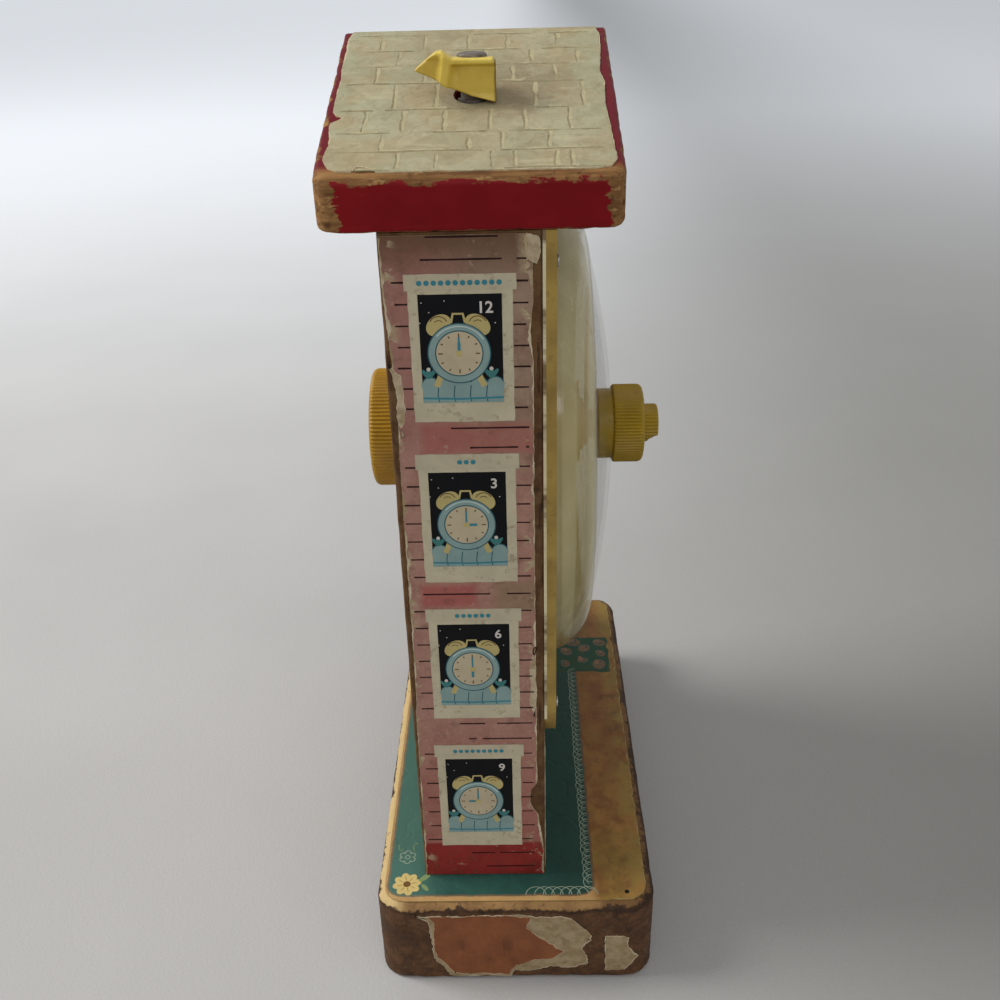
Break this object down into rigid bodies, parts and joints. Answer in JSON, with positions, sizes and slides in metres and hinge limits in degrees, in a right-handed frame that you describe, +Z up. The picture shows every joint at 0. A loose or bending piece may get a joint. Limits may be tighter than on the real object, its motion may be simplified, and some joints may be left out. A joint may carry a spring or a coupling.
{
  "type": "toy teaching clock",
  "caption": "Wooden toy teaching clock: gabled case on a base, domed dial with knob-set geared hands, wind-up pinned-cylinder music movement behind and a small swivelling bird on the roof.",
  "frame": {"origin": "centre of the base's underside, on the table", "axes": "+Z up, the dial faces -Y, +X to the viewer's right when facing the dial"},
  "size_m": [0.173, 0.0917, 0.2749],
  "materials": {
    "base_wood": "bare and worn at the edges",
    "board_wood": "bare and worn at the edges",
    "red_wood": "painted dark red, worn at the edges",
    "panel_board": "hardboard",
    "printed_paper": "faded print, varnished",
    "roof_paper": "faded print, varnished",
    "base_paper": "faded print, varnished",
    "dial_card": "matt print",
    "yellow_plastic": "moulded, scuffed",
    "clear_plastic": "clear, yellowed",
    "orange_plastic": "moulded",
    "steel": "bright steel",
    "spring_steel": "blued steel",
    "zinc_plate": "zinc plated steel",
    "brass": "plain",
    "black_plastic": "moulded"
  },
  "bodies": {
    "case": {"base_board": "base_wood", "base_paper": "base_paper", "left_side_board": "board_wood", "right_side_board": "board_wood", "left_side_paper": "printed_paper", "right_side_paper": "printed_paper", "left_roof_slab": "red_wood", "right_roof_slab": "red_wood", "roof_paper": "roof_paper", "front_board": "panel_board", "front_paper": "printed_paper", "rear_panel": "panel_board", "dial_card": "dial_card", "dial_frame": "yellow_plastic", "clear_dome": "clear_plastic", "centre_boss": "yellow_plastic", "boss_screws": "steel", "frame_nails": "steel", "rear_panel_nails": "steel", "base_screws": "steel", "roof_screws": "steel", "reduction_stud": "steel", "motion_plate": "zinc_plate", "plate_posts": "steel", "movement_bedplate": "zinc_plate", "movement_screws": "steel", "cylinder_brackets": "zinc_plate", "music_comb": "spring_steel", "comb_block": "zinc_plate", "comb_screws": "steel", "governor_bracket": "zinc_plate", "bird_bushing": "black_plastic"},
    "minute": {"minute_arbor": "steel", "minute_hand": "orange_plastic", "front_knob": "yellow_plastic", "knob_tip": "yellow_plastic", "cannon_pinion": "brass", "arbor_clip": "spring_steel"},
    "reduction": {"reduction_wheel": "brass"},
    "hour": {"hour_wheel": "brass", "hour_hand": "orange_plastic"},
    "winding": {"winding_knob": "yellow_plastic", "winding_arbor": "steel"},
    "barrel": {"spring_barrel": "brass", "barrel_cover": "brass", "mainspring": "spring_steel"},
    "cylinder": {"music_cylinder": "brass", "cylinder_axle": "steel"},
    "governor": {"governor_arbor": "steel", "governor_fly": "brass"},
    "bird": {"bird": "yellow_plastic", "bird_post": "steel", "post_clip": "spring_steel"}
  },
  "joints": [
    {"name": "minute_turn", "type": "hinge", "parent": "case", "child": "minute", "pos_m": [0, -0.02, 0.1564], "axis": [0, 1, 0], "continuous": true},
    {"name": "reduction_turn", "type": "hinge", "parent": "case", "child": "reduction", "pos_m": [0, -0.002, 0.1404], "axis": [0, 1, 0], "continuous": true},
    {"name": "hour_turn", "type": "hinge", "parent": "case", "child": "hour", "pos_m": [0, -0.012, 0.1564], "axis": [0, 1, 0], "continuous": true},
    {"name": "winding_turn", "type": "hinge", "parent": "case", "child": "winding", "pos_m": [0, 0.035, 0.1564], "axis": [0, 1, 0], "continuous": true},
    {"name": "barrel_turn", "type": "hinge", "parent": "case", "child": "barrel", "pos_m": [0, 0.02, 0.1564], "axis": [0, 1, 0], "continuous": true},
    {"name": "cylinder_turn", "type": "hinge", "parent": "case", "child": "cylinder", "pos_m": [-0.033, 0.0099, 0.1564], "axis": [1, 0, 0], "continuous": true},
    {"name": "governor_turn", "type": "hinge", "parent": "case", "child": "governor", "pos_m": [-0.04, 0.0099, 0.1708], "axis": [1, 0, 0], "continuous": true},
    {"name": "bird_swivel", "type": "hinge", "parent": "case", "child": "bird", "pos_m": [-0.0367, 0.0068, 0.2627], "axis": [0, 0, 1], "range_deg": [-10, 10]}
  ],
  "couplings": [
    {"joint": "reduction_turn", "follows": "minute_turn", "ratio": -0.33333},
    {"joint": "hour_turn", "follows": "minute_turn", "ratio": 0.083333},
    {"joint": "cylinder_turn", "follows": "barrel_turn", "ratio": 4},
    {"joint": "governor_turn", "follows": "barrel_turn", "ratio": -20}
  ]
}
